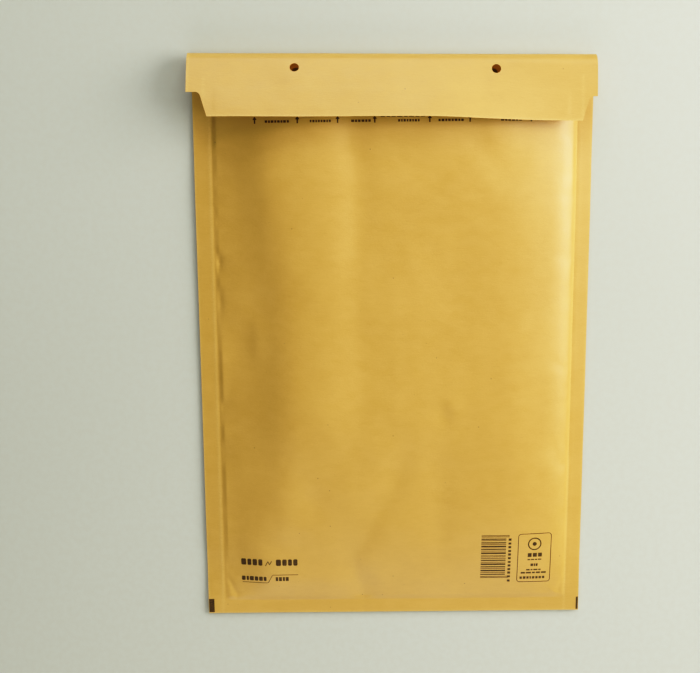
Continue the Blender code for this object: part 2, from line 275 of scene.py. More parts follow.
def front(x, y):
    """Height of the outside of the front panel."""
    x, y = np.broadcast_arrays(np.asarray(x, float), np.asarray(y, float))
    level = seam_height(y) + seam_wave(x, y) + SHEET
    x = x - RIGHT_SEAM * smooth(55, 104, x)
    inside = smooth(0, 3.5, PAD - np.abs(x)) * smooth(0, 3.5, y - BOTTOM_MARGIN)
    base = level + EDGE_STEP * inside
    made = base + (CROWN - base) * front_shape(x, y)
    margin = 0.05 * cloud(x, y, 9, 31) * (1 - inside) * smooth(0, 3, HALF - np.abs(x)) * smooth(0, 3, y)
    detail = front_detail(x, y)
    # the crease at the foot goes on through the flattened margin, the rest stays inside the seams
    through = crease(x, y, [(-19.2, 15), (-18.7, 8), (-18.6, -3)], -0.18, 1.8, 1.2, (0.3, 0.0)) * (1 - inside)
    return made + 1.1 * detail * inside + margin + through + seam_lines(x, y)


def back(x, y):
    """Height of the outside of the back panel, which rests on its middle and rises to the seams."""
    x, y = np.broadcast_arrays(np.asarray(x, float), np.asarray(y, float))
    held = np.minimum(y, MOUTH)
    flat = (1 - smooth(88, PAD, np.abs(x))) * smooth(BOTTOM_MARGIN, 34, held)
    made = (seam_height(held) + seam_wave(x, held) - SHEET) * (1 - flat)
    edge = smooth(4, 16, PAD - np.abs(x)) * smooth(2, 22, y - BOTTOM_MARGIN) * (1 - smooth(318, 337, y))
    uneven = 0.5 + 0.5 * cloud(x, y, 34, 41) * 0.8 + 0.25 * cloud(x, y, 14, 42)
    pucker = 0.25 * (1 + cloud(11.0, y, 12, 43)) * np.exp(-(((PAD - 7 - np.abs(x)) / 5) ** 2))
    made = made + edge * (0.32 * np.maximum(uneven, 0) + pucker)
    return made * np.where(y > MOUTH, smooth(BEND, MOUTH, y), 1.0)


def flap_lift(x):
    return np.radians(FLAP_LIFT_LEFT + (FLAP_LIFT_RIGHT - FLAP_LIFT_LEFT) * smooth(14, 118, x))


def flap_detail(x, along):
    """How far the fold and the flap stand off their ideal form."""
    free = smooth(-6, 14, along)
    made = free * (0.30 * cloud(x, along, 38, 51) + 0.14 * cloud(x, along, 17, 52) + 0.03 * cloud(x, along, 6, 53))
    # the tip is a little wavy, because the glue under it holds the paper unevenly
    made = made + smooth(24, TIP, along) * (0.35 * cloud(x, 3.0, 52, 54) + 0.16 * cloud(x, 8.0, 21, 55))
    # the band over the glue reads as a slight step
    made = made + 0.10 * smooth(25.2, 26.8, along) * (1 - smooth(39.6, 41.2, along)) * smooth(0, 3, 105 - np.abs(x))
    return made


def sheet(x, along, depth):
    """A point of the back panel, the lip, the top fold or the flap. along runs over the paper from the crown of the fold,
    negative on the back. depth is 0 on the outer face."""
    x, along, depth = np.broadcast_arrays(np.asarray(x, float), np.asarray(along, float), np.asarray(depth, float))
    lift = flap_lift(x)
    turn, last = math.pi / 2 + along / FOLD_R, math.pi - lift
    free = np.maximum(0, (turn - last) * FOLD_R)
    turn = np.clip(turn, 0, last)
    radius = FOLD_R + flap_detail(x, along) * smooth(-QUARTER, -QUARTER + 6, along) - depth
    y = BEND + radius * np.sin(turn) - free * np.cos(lift)
    z = FOLD_R - radius * np.cos(turn) + free * np.sin(lift) - FLAP_DROOP * free**2
    askew = smooth(-QUARTER, -1, along)
    y = y - SKEW * x * askew * (1 - 0.5 * smooth(SHOULDER, TIP, along))
    x = x + SIDEWAYS * askew
    flat = along <= -QUARTER
    flat_y = BEND + QUARTER + along
    return np.stack([x, np.where(flat, flat_y, y), np.where(flat, back(x, np.minimum(flat_y, BEND)) + depth, z)], -1)


def place(points):
    """Millimetres from the bottom fold to metres in the frame."""
    made = np.array(points, float) / 1000
    made[..., 1] -= LENGTH / 2000
    return made


# ---- meshes ----
class Surface:
    """Points and triangles, and each triangle's place in the texture layout, gathered as arrays."""

    def __init__(self):
        self.points, self.faces, self.places, self.marks = [], [], [], []
        self.count = 0

    def add(self, points, mark=0.0):
        """Returns the numbers of the new points. mark is a value that each of them keeps for attributes."""
        points = np.asarray(points, float)
        ids = np.arange(self.count, self.count + points[..., 0].size).reshape(points.shape[:-1])
        self.points.append(points.reshape(-1, 3))
        self.marks.append(np.full(ids.size, float(mark)))
        self.count += ids.size
        return ids

    def triangles(self, ids, where):
        self.faces.append(np.reshape(ids, (-1, 3)))
        self.places.append(np.reshape(where, (-1, 3, 2)))

    def quads(self, ids, where, keep=None, mirror=None):
        """Faces of a grid of points. mirror, one for each column of cells, turns the diagonal the other way."""
        ids, where = np.asarray(ids), np.asarray(where, float)
        corners = [np.s_[:-1, :-1], np.s_[:-1, 1:], np.s_[1:, 1:], np.s_[1:, :-1]]
        a, b, c, d = [ids[s] for s in corners]
        ta, tb, tc, td = [where[s] for s in corners]
        keep = np.ones(a.shape, bool) if keep is None else np.broadcast_to(keep, a.shape)
        turned = np.zeros(a.shape, bool) if mirror is None else np.broadcast_to(mirror, a.shape)
        for chosen, order in ((keep & ~turned, (0, 1, 2, 0, 2, 3)), (keep & turned, (0, 1, 3, 1, 2, 3))):
            if not chosen.any():
                continue
            points = np.stack([v[chosen] for v in (a, b, c, d)], 1)
            spots = np.stack([v[chosen] for v in (ta, tb, tc, td)], 1)
            self.triangles(points[:, order].reshape(-1, 3), spots[:, order].reshape(-1, 3, 2))

    def strip(self, one, two, where_one, where_two):
        self.quads(np.stack([one, two]), np.stack([where_one, where_two]))

    def rim(self, one, two, origin, across=1.0):
        """A narrow strip between two lines of points, laid out on a spare spot of the texture."""
        line = np.concatenate(self.points)[np.asarray(one)]
        length = np.concatenate([[0], np.cumsum(np.linalg.norm(np.diff(line, axis=0), axis=1))])
        first = np.stack([origin[0] + length, np.full(len(length), origin[1])], -1)
        self.strip(one, two, first, first + np.array([0, across]))

    def make(self, name, material, sharp=38.0, layout=None, attributes=None):
        points, faces = np.concatenate(self.points), np.concatenate(self.faces)
        marks = np.concatenate(self.marks)
        places = np.concatenate(self.places)
        used, faces = np.unique(faces, return_inverse=True)
        faces = faces.reshape(-1, 3)
        mesh = bpy.data.meshes.new(name)
        mesh.from_pydata(place(points[used]).tolist(), [], faces.tolist())
        for key, values in (attributes or {}).items():
            mesh.attributes.new(key, "FLOAT", "POINT").data.foreach_set("value", np.ascontiguousarray(values(points[used], marks[used]), dtype=np.float32))
        if layout:
            spots = (places - np.array(layout[:2])) / layout[2]
            mesh.uv_layers.new(name="OFBake").data.foreach_set("uv", spots.astype(np.float32).ravel())
        work = bmesh.new()
        work.from_mesh(mesh)
        bmesh.ops.recalc_face_normals(work, faces=work.faces)
        work.to_mesh(mesh)
        work.free()
        mesh.shade_smooth()
        mesh.set_sharp_from_angle(angle=math.radians(sharp))
        mesh.materials.append(material)
        obj = bpy.data.objects.new(name, mesh)
        bpy.context.scene.collection.objects.link(obj)
        return obj


def around(j0, j1, i0, i1):
    """Index pairs once round the edge of a block of cells."""
    path = [(j0, i) for i in range(i0, i1)] + [(j, i1) for j in range(j0, j1)]
    return path + [(j1, i) for i in range(i1, i0, -1)] + [(j, i0) for j in range(j1, j0, -1)]


# ---- materials ----
class Look:
    """A material made from nodes."""

    def __init__(self, name, **constants):
        self.material = bpy.data.materials.new(name)
        self.material.use_nodes = True
        self.tree = self.material.node_tree
        self.shader = self.tree.nodes["Principled BSDF"]
        for key, value in constants.items():
            self.shader.inputs[key.replace("_", " ")].default_value = value
        self.object = self.node("ShaderNodeTexCoord").outputs["Object"]

    def node(self, kind, **settings):
        made = self.tree.nodes.new(kind)
        for key, value in settings.items():
            setattr(made, key, value)
        return made

    def put(self, node, **values):
        for key, value in values.items():
            socket = node.inputs[int(key[1:])] if key[0] == "_" else node.inputs[key.replace("_", " ")]
            if isinstance(value, bpy.types.NodeSocket):
                self.tree.links.new(value, socket)
            else:
                socket.default_value = value
        return node

    def noise(self, stretch, detail=3.0, roughness=0.55, offset=(0, 0, 0), distortion=0.0):
        """Fractal noise with features this many metres long each way."""
        spot = self.put(self.node("ShaderNodeMapping"), Vector=self.object, Location=offset, Scale=tuple(1 / s for s in stretch))
        made = self.node("ShaderNodeTexNoise")
        self.put(made, Vector=spot.outputs[0], Scale=1.0, Detail=detail, Roughness=roughness, Distortion=distortion)
        return made.outputs["Fac"]

    def math(self, operation, a, b=0.0, clamp=False):
        return self.put(self.node("ShaderNodeMath", operation=operation, use_clamp=clamp), _0=a, _1=b).outputs[0]

    def fit(self, value, low, high, to_low=0.0, to_high=1.0):
        made = self.node("ShaderNodeMapRange", interpolation_type="SMOOTHSTEP")
        self.put(made, Value=value, From_Min=low, From_Max=high, To_Min=to_low, To_Max=to_high)
        return made.outputs[0]

    def mix(self, factor, a, b, blend="MIX"):
        made = self.node("ShaderNodeMix", data_type="RGBA", blend_type=blend)
        sockets = [s for s in made.inputs if s.enabled]
        for socket, value in zip(sockets, (factor, a, b)):
            if isinstance(value, bpy.types.NodeSocket):
                self.tree.links.new(value, socket)
            else:
                socket.default_value = (*value, 1.0) if isinstance(value, tuple) else value
        return next(s for s in made.outputs if s.enabled)

    def attribute(self, name):
        return self.node("ShaderNodeAttribute", attribute_name=name).outputs["Fac"]

    def finish(self, colour, roughness, height, distance, strength=1.0):
        bumped = self.put(self.node("ShaderNodeBump"), Height=height, Distance=distance, Strength=strength)
        self.put(self.shader, Base_Color=colour, Roughness=roughness, Normal=bumped.outputs[0])
        return self.material


def kraft_fibres(look):
    """The noises that every kraft surface shares: blotches, fibres across the sheet, fine grain."""
    blotch = look.noise((0.030, 0.022, 0.022), 4.0, 0.6)
    patch = look.noise((0.009, 0.0045, 0.0045), 3.0, 0.6, (3.1, 0, 0))
    fibre = look.noise((0.0045, 0.00055, 0.00055), 4.0, 0.62, (0, 5.3, 0), 0.6)
    grain = look.noise((0.0011, 0.0007, 0.0007), 2.0, 0.6, (0, 0, 7.7))
    return blotch, patch, fibre, grain


def kraft_paper():
    look = Look("kraft_paper", Specular_IOR_Level=0.85)
    blotch, patch, fibre, grain = kraft_fibres(look)
    tone = look.math("ADD", look.math("MULTIPLY", blotch, 0.34), look.math("MULTIPLY", patch, 0.26))
    tone = look.math("ADD", tone, look.math("MULTIPLY", fibre, 0.26))
    tone = look.math("ADD", tone, look.math("MULTIPLY", grain, 0.14))
    colour = look.mix(look.fit(tone, 0.33, 0.67), (0.600, 0.371, 0.074), (0.656, 0.413, 0.094))
    # long pale and dark fibres, and now and then a speck of bark
    dark = look.fit(look.noise((0.0034, 0.00045, 0.00045), 2.0, 0.5, (9.0, 1.0, 2.0), 1.2), 0.68, 0.80, 0.0, 0.42)
    colour = look.mix(dark, colour, (0.400, 0.225, 0.048))
    pale = look.fit(look.noise((0.0040, 0.00050, 0.00050), 2.0, 0.5, (1.0, 8.0, 4.0), 1.2), 0.68, 0.82, 0.0, 0.40)
    colour = look.mix(pale, colour, (0.780, 0.560, 0.180))
    specks = look.node("ShaderNodeTexVoronoi")
    look.put(specks, Vector=look.object, Scale=150.0, Randomness=1.0)
    rare = look.fit(look.put(look.node("ShaderNodeSeparateColor"), Color=specks.outputs["Color"]).outputs[0], 0.80, 0.84)
    close = look.fit(specks.outputs["Distance"], 0.035, 0.075, 1.0, 0.0)
    colour = look.mix(look.math("MULTIPLY", look.math("MULTIPLY", rare, close), 0.62), colour, (0.200, 0.105, 0.022))
    # folds and cut edges are scuffed paler; the pale lines along the flap's tip and on the seam lips are painted
    # highlights
    wear = look.math("MULTIPLY", look.attribute("wear"), look.fit(grain, 0.30, 0.62, 0.25, 1.0))
    colour = look.mix(look.math("MULTIPLY", wear, 0.55), colour, (0.820, 0.610, 0.220))
    rough = look.math("ADD", look.fit(patch, 0.3, 0.7, 0.41, 0.47), look.math("MULTIPLY", look.math("SUBTRACT", fibre, 0.5), 0.12))
    rough = look.math("ADD", rough, look.math("MULTIPLY", wear, 0.12))
    height = look.math("ADD", look.math("MULTIPLY", fibre, 0.55), look.math("MULTIPLY", grain, 0.35))
    height = look.math("ADD", height, look.math("MULTIPLY", patch, 0.5))
    # painted glow: a faint orange emission on the inner face inside the top fold stands in for light coming through the
    # paper
    look.put(look.shader, Emission_Color=(0.125, 0.050, 0.006, 1.0), Emission_Strength=look.attribute("through"))
    return look.finish(colour, rough, height, 0.00011)


def print_ink():
    look = Look("print_ink", Specular_IOR_Level=0.45)
    blotch, patch, fibre, grain = kraft_fibres(look)
    thin = look.math("ADD", look.math("MULTIPLY", fibre, 0.55), look.math("MULTIPLY", grain, 0.45))
    colour = look.mix(look.fit(thin, 0.36, 0.66), (0.048, 0.026, 0.007), (0.125, 0.070, 0.016))
    colour = look.mix(look.fit(thin, 0.62, 0.74, 0.0, 0.5), colour, (0.400, 0.240, 0.040))
    rough = look.fit(patch, 0.3, 0.7, 0.42, 0.56)
    height = look.math("ADD", look.math("MULTIPLY", fibre, 0.55), look.math("MULTIPLY", grain, 0.35))
    return look.finish(colour, rough, height, 0.00009)


def bubble_film():
    look = Look("bubble_film", Specular_IOR_Level=0.6, Transmission_Weight=0.35, IOR=1.5)
    haze = look.noise((0.012, 0.012, 0.012), 3.0, 0.6)
    scratch = look.noise((0.0008, 0.009, 0.0008), 3.0, 0.6, (2, 0, 0))
    colour = look.mix(look.fit(haze, 0.35, 0.65), (0.80, 0.84, 0.83), (0.90, 0.92, 0.90))
    rough = look.math("ADD", look.fit(haze, 0.3, 0.7, 0.10, 0.20), look.math("MULTIPLY", look.fit(scratch, 0.55, 0.75), 0.15))
    wrinkle = look.noise((0.003, 0.003, 0.003), 3.0, 0.6, (0, 4, 0), 1.0)
    return look.finish(colour, rough, wrinkle, 0.0002)


def hot_melt():
    look = Look("hot_melt", Specular_IOR_Level=0.55, Subsurface_Weight=0.12)
    look.shader.inputs["Subsurface Radius"].default_value = (0.0015, 0.0012, 0.0008)
    run = look.noise((0.020, 0.0016, 0.0016), 3.0, 0.6)
    spot = look.noise((0.0025, 0.0020, 0.0020), 3.0, 0.6, (0, 3, 0))
    colour = look.mix(look.fit(run, 0.3, 0.7), (0.80, 0.73, 0.52), (0.90, 0.85, 0.68))
    colour = look.mix(look.fit(spot, 0.62, 0.75, 0.0, 0.35), colour, (0.70, 0.61, 0.38))
    rough = look.fit(spot, 0.3, 0.7, 0.20, 0.36)
    return look.finish(colour, rough, look.math("ADD", run, look.math("MULTIPLY", spot, 0.5)), 0.0001)


def release_paper():
    look = Look("release_paper", Specular_IOR_Level=0.5, Coat_Weight=0.25, Coat_Roughness=0.22)
    cloudy = look.noise((0.016, 0.010, 0.010), 4.0, 0.6)
    fibre = look.noise((0.0035, 0.0006, 0.0006), 4.0, 0.6, (0, 2, 0), 0.5)
    tone = look.math("ADD", look.math("MULTIPLY", cloudy, 0.55), look.math("MULTIPLY", fibre, 0.45))
    colour = look.mix(look.fit(tone, 0.36, 0.64), (0.80, 0.80, 0.755), (0.91, 0.91, 0.875))
    wear = look.math("MULTIPLY", look.attribute("wear"), 0.5)
    colour = look.mix(wear, colour, (0.74, 0.72, 0.65))
    rough = look.math("ADD", look.fit(cloudy, 0.3, 0.7, 0.34, 0.44), look.math("MULTIPLY", wear, 0.2))
    return look.finish(colour, rough, fibre, 0.00005)


def floor_look():
    look = Look("floor", Specular_IOR_Level=0.3)
    broad = look.noise((0.9, 0.7, 0.9), 2.0, 0.5)
    fine = look.noise((0.004, 0.004, 0.004), 3.0, 0.6)
    colour = look.mix(look.fit(broad, 0.3, 0.7), (0.568, 0.596, 0.530), (0.608, 0.640, 0.576))
    colour = look.mix(look.fit(fine, 0.3, 0.7, 0.0, 0.25), colour, (0.56, 0.56, 0.48))
    return look.finish(colour, look.fit(fine, 0.3, 0.7, 0.62, 0.72), fine, 0.00004)


# ---- the kraft sheet ----
OUTER = [101.8, 102.8, 103.7, 104.5, 105.2, 105.9, 106.5, 107.1, 107.6, 108.1, 108.6, PAD]
OUTER += [109.4, 109.9, 110.4, 110.9, 111.5, 112.4, 113.4, 114.4, 115.5, 116.6, 117.4, 118.0, 118.7, 119.4, 119.8, HALF]
COLUMNS = np.array([-v for v in reversed(OUTER)] + [1.8 * n for n in range(-56, 57)] + OUTER)
ROWS = [0.15, 0.7, 1.5, 2.6, 3.8, 5.0, 6.1, 7.0, 7.7, 8.4, BOTTOM_MARGIN, 9.6, 10.3, 11.2, 12.2, 13.4, 14.7]
ROWS = np.array(ROWS + [16.2 + 2.0 * n for n in range(160)] + [336.3, 337.5, MOUTH])
BEYOND = [y - BEND - QUARTER for y in (339.9, 341.4, 343.0, BEND)] + [QUARTER * (n / 12 - 1) for n in range(1, 25)]
BEYOND += [13.5, 15.2, 17.0, 18.7, 20.5, 22.3, 24.1, 25.9, 27.5, 28.5, SHOULDER]
BEYOND += [29.2, 29.5, 29.95, 30.5, 31.2, 33.0, 34.8, 36.6, 38.4, 40.2, 42.0, 43.0, 43.5, TIP]


def edge_at(along, side, inset=0.0):
    """Half width of the flap below its shoulder: a small round, then a slant to the tip."""
    index = 0 if side < 0 else 1
    down = np.maximum(np.asarray(along, float) - SHOULDER + inset, 0)
    radius = CORNER_R
    turn = radius - np.minimum(down, radius)
    round_off = radius - np.sqrt(radius**2 - turn**2)
    slant = (SLANT[index] - STEP[index]) * down / (TIP - SHOULDER)
    return HALF - STEP[index] - inset + round_off - slant


def shouldered(x, along, inset=0.0):
    """Moves the columns near the ends of the flap in to its stepped and slanted outline."""
    x, along = np.broadcast_arrays(np.asarray(x, float), np.asarray(along, float))
    made = x.copy()
    for side in (-1, 1):
        full = edge_at(SHOULDER - inset, side, inset)
        share = (side * x - HOLLOW_SIDE) / (full - HOLLOW_SIDE)
        moved = side * (HOLLOW_SIDE + share * (edge_at(along, side, inset) - HOLLOW_SIDE))
        chosen = (side * x > HOLLOW_SIDE) & (along > SHOULDER - inset)
        made = np.where(chosen, moved, made)
    return made


def kraft_sheet():
    made = Surface()
    columns, rows = COLUMNS, ROWS
    alongs = np.concatenate([rows - BEND - QUARTER, BEYOND])
    mouth = len(rows) - 1
    first, last = int(np.argmin(abs(columns + PAD))), int(np.argmin(abs(columns - PAD)))
    shoulder = mouth + 1 + BEYOND.index(SHOULDER)
    trim = int(np.argmin(abs(columns + 114.4))), int(np.argmin(abs(columns - 118.0)))
    tip = len(alongs) - 1
    ends = 0, len(columns) - 1
    mirror = ((columns[:-1] + columns[1:]) / 2 > 0)[None, :]

    # outside of the front panel
    x, y = np.meshgrid(columns, rows)
    top = made.add(np.stack([x, y, front(x, y)], -1))
    made.quads(top, np.stack([x, y], -1), mirror=mirror)

    # outside of the back panel, the lip, the fold and the flap
    x, along = np.meshgrid(columns, alongs)
    x = shouldered(x, along)
    outer = made.add(sheet(x, along, 0.0))
    inner = made.add(sheet(x, along, SHEET), mark=1.0)
    spots = np.stack([x, along + BEND + QUARTER], -1)
    cells_j, cells_i = np.meshgrid(np.arange(tip), np.arange(ends[1]), indexing="ij")
    keep = (cells_j < shoulder) | ((cells_i >= trim[0]) & (cells_i < trim[1]))

    # inside of the pocket: fewer rows will do there
    foot = int(np.argmin(abs(rows - BOTTOM_MARGIN)))
    few = [foot, foot + 2, foot + 4, foot + 6] + list(range(foot + 9, mouth - 5, 5))
    few = [j for j in few if j < mouth - 3] + [mouth - 3]
    inside = np.array(few + [mouth - 2, mouth - 1, mouth])
    hollow = np.arange(first, last + 1)
    gx, gy = np.meshgrid(columns[hollow], rows[inside])
    ceiling = made.add(np.stack([gx, gy, front(gx, gy) - SHEET], -1))
    ceiling[:, 0], ceiling[:, -1], ceiling[0, :] = inner[inside, first], inner[inside, last], inner[foot, hollow]
    made.quads(ceiling, np.stack([gx * 0.3, gy * 0.3], -1) + np.array([300.0, 0]), mirror=mirror[:, first:last])

    # punched holes: each takes the place of a block of cells
    blocks = []
    for side in (-1, 1):
        middle_x = side * PUNCH_X + PUNCH_SHIFT
        back_along = PUNCH_BACK_Y[0 if side < 0 else 1] - BEND - QUARTER
        for cx, centre in ((middle_x - SIDEWAYS, PUNCH_ALONG), (middle_x + PUNCH_BACK_SHIFT, back_along)):
            i0 = int(np.argmin(abs(columns - (cx - 5.4))))
            i1 = int(np.argmin(abs(columns - (cx + 5.4))))
            j0 = int(np.argmin(abs(alongs - (centre - 5.4))))
            j1 = int(np.argmin(abs(alongs - (centre + 5.4))))
            blocks.append((i0, i1, j0, j1, cx, centre))
            keep &= ~((cells_i >= i0) & (cells_i < i1) & (cells_j >= j0) & (cells_j < j1))

    made.quads(outer, spots + np.array([-250.0, 0]), keep=keep, mirror=mirror)
    wanted = np.concatenate([inside[:-1], np.arange(mouth, tip + 1)])
    inner_keep = keep[wanted[:-1]].copy()
    # a coarse row stands for several fine ones, so a block only counts where its own rows are
    low = wanted[:-1] < mouth
    inner_keep[low] &= ((cells_i[0] >= first) & (cells_i[0] < last))[None, :]
    inner_spots = spots[wanted] * 0.3 + np.array([300.0, 130.0])
    made.quads(inner[wanted], inner_spots, keep=inner_keep, mirror=mirror)

    for i0, i1, j0, j1, cx, centre in blocks:
        path = around(j0, j1, i0, i1)
        flat = np.array([(x[j, i], alongs[j]) for j, i in path])
        middle = np.array([cx, centre])
        angle = np.arctan2(flat[:, 1] - centre, flat[:, 0] - cx)
        circle = middle + PUNCH_R * np.stack([np.cos(angle), np.sin(angle)], -1)
        steps = (0.0, 0.35, 0.62, 0.82, 0.95, 1.0)
        rings = [[], []]
        for t in steps:
            at = flat + (circle - flat) * t
            for ring, depth, ids in ((rings[0], 0.0, outer), (rings[1], SHEET, inner)):
                if t == 0:
                    made_ids = np.array([ids[j, i] for j, i in path])
                else:
                    made_ids = made.add(sheet(at[:, 0], at[:, 1], depth), mark=depth / SHEET)
                ring.append((np.append(made_ids, made_ids[0]), np.vstack([at, at[:1]])))
        for index, ring in enumerate(rings):
            for (one, flat_one), (two, flat_two) in zip(ring, ring[1:]):
                shift = np.array([-250.0, BEND + QUARTER])
                places = [f + np.array([0, BEND + QUARTER]) for f in (flat_one, flat_two)]
                if index == 0:
                    places = [p + np.array([-250.0, 0]) for p in places]
                else:
                    places = [p * 0.3 + np.array([300.0, 130.0]) for p in places]
                made.strip(one, two, *places)
        made.rim(rings[0][-1][0], rings[1][-1][0], (270.0 + 20 * len(made.faces) % 60, 300.0 + 2 * (len(made.faces) % 20)))

    # side edges of the two plies, with the line between them, and the bottom fold
    middle_z = (front(columns, 0.0) + back(columns, 0.0)) / 2
    under = made.add(np.stack([columns * (1 - 0.0008), np.zeros_like(columns), middle_z], -1))
    made.rim(top[0], under, (-120.0, -6.0))
    made.rim(under, outer[0], (-120.0, -9.0))
    for number, i in enumerate(ends):
        side_x = np.full(len(rows), columns[i] * (1 - 0.0008))
        middle_z = (front(columns[i], rows) + back(columns[i], rows)) / 2
        groove = made.add(np.stack([side_x, rows, middle_z], -1))
        groove[-1] = inner[mouth, i]
        line = np.concatenate([[under[i]], groove])
        made.rim(top[:, i], groove, (262.0, 4.0 + 6 * number))
        made.rim(groove, outer[: mouth + 1, i], (262.0, 6.0 + 6 * number))
        # the two small corners where the side edge turns into the bottom fold
        corner = [(top[0, i], under[i], groove[0]), (outer[0, i], groove[0], under[i])]
        made.triangles(np.array(corner), np.array([[(280.0, 2.0), (281.0, 2.0), (280.0, 3.0)]] * 2))
    # the edge of the front panel at the mouth
    made.rim(top[mouth, hollow], ceiling[-1], (-120.0, 350.0))
    made.rim(top[mouth, : first + 1], inner[mouth, : first + 1], (-120.0, 353.0))
    made.rim(top[mouth, last:], inner[mouth, last:], (-60.0, 353.0))
    # edges of the lip and the flap
    up = np.arange(mouth, shoulder + 1)
    down = np.arange(shoulder, tip + 1)
    made.rim(outer[up, 0], inner[up, 0], (0.0, 356.0))
    made.rim(outer[up, ends[1]], inner[up, ends[1]], (0.0, 359.0))
    made.rim(outer[shoulder, : trim[0] + 1], inner[shoulder, : trim[0] + 1], (-60.0, 356.0))
    made.rim(outer[shoulder, trim[1] :], inner[shoulder, trim[1] :], (-60.0, 359.0))
    made.rim(outer[down, trim[0]], inner[down, trim[0]], (-120.0, 356.0))
    made.rim(outer[down, trim[1]], inner[down, trim[1]], (-120.0, 359.0))
    made.rim(outer[tip, trim[0] : trim[1] + 1], inner[tip, trim[0] : trim[1] + 1], (-120.0, 362.0))

    crown_y = LENGTH
    tip_line = sheet(columns, TIP, 0.0)

    def wear(points, marks):
        px, py, pz = points.T
        side = np.exp(-(((HALF - np.abs(px)) / 0.8) ** 2))
        fold = np.exp(-(((py - crown_y) / 1.6) ** 2))
        bottom = np.exp(-((py / 0.8) ** 2))
        at_tip = np.interp(px, tip_line[:, 0], tip_line[:, 1])
        # painted highlight: a pale line along the flap's tip edge
        tip_painted_highlight = np.exp(-(((py - at_tip) / 0.7) ** 2)) * (pz > np.interp(px, tip_line[:, 0], tip_line[:, 2]) - 3)
        # painted highlight: a pale line on the lip outside each seam
        seam = 0.35 * np.exp(-(((np.abs(px) - PAD - 1.6) / 0.9) ** 2)) * (py < MOUTH)
        return np.clip(0.6 * side + 0.3 * fold + 0.8 * bottom + 0.9 * tip_painted_highlight + seam, 0, 1)

    # painted glow: 1 on the inner face inside the top fold, which is made to emit a faint orange light
    def through(points, marks):
        px, py, pz = points.T
        return marks * (py > MOUTH + 0.1) * (pz < FOLD_R + 2)

    # wear carries real scuffs and painted highlights; through carries the painted glow
    return made.make("kraft_sheet", kraft_paper(), layout=(-380.0, -20.0, 800.0), attributes={"wear": wear, "through": through})


